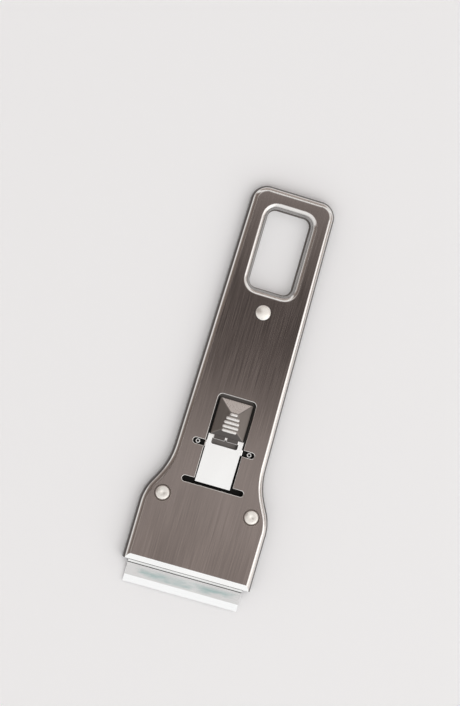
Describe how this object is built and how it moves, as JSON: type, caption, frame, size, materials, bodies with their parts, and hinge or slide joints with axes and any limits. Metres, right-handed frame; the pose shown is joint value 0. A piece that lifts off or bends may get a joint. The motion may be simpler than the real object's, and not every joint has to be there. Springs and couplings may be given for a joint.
{
  "type": "ceramic hob scraper",
  "caption": "Flat stainless steel hob scraper with a riveted shell, a sliding blade carrier with a ribbed thumb button on a spring tongue, and a drawn hanging hole.",
  "frame": {"origin": "centre of the bounding box in X and Y, on the table plane under the flat back", "axes": "+Y towards the hanging hole, -Y towards the blade edge, +Z out of the face that carries the button, +X across"},
  "size_m": [0.048, 0.1516, 0.0073],
  "materials": {
    "shell_steel": "brushed along the handle, slightly warm grey",
    "plate_steel": "fine brushed sheet",
    "carrier_steel": "bright on the nose, darkened where it runs inside the shell",
    "blade_steel": "ground, with a thin film of oil and a bright edge",
    "spring_steel": "bright polished spring strip, darkened on the foot and ears",
    "button_steel": "pressed and tumbled bright",
    "rivet_steel": "bright headed, plain",
    "spacer_steel": "plain turned"
  },
  "bodies": {
    "shell": {"front_shell": "shell_steel", "back_plate": "plate_steel", "handle_rivet": "rivet_steel", "shoulder_rivet_left": "rivet_steel", "shoulder_rivet_right": "rivet_steel", "handle_spacer": "spacer_steel", "shoulder_spacer_left": "spacer_steel", "shoulder_spacer_right": "spacer_steel"},
    "slider": {"blade_carrier": "carrier_steel", "scraper_blade": "blade_steel", "blade_stud_left": "rivet_steel", "blade_stud_right": "rivet_steel", "tongue_rivet_left": "rivet_steel", "tongue_rivet_right": "rivet_steel"},
    "tongue": {"spring_tongue": "spring_steel", "thumb_button": "button_steel", "catch_left": "spring_steel", "catch_right": "spring_steel"}
  },
  "joints": [
    {"name": "blade_slide", "type": "slide", "parent": "shell", "child": "slider", "axis": [0, -1, 0], "range_m": [0, 0.0142]},
    {"name": "button_press", "type": "hinge", "parent": "slider", "child": "tongue", "pos_m": [0, -0.03435, 0.00165], "axis": [-1, 0, 0], "range_deg": [0, 2.5], "stiffness_Nm_per_rad": 1.5, "springref_deg": -1.15}
  ]
}
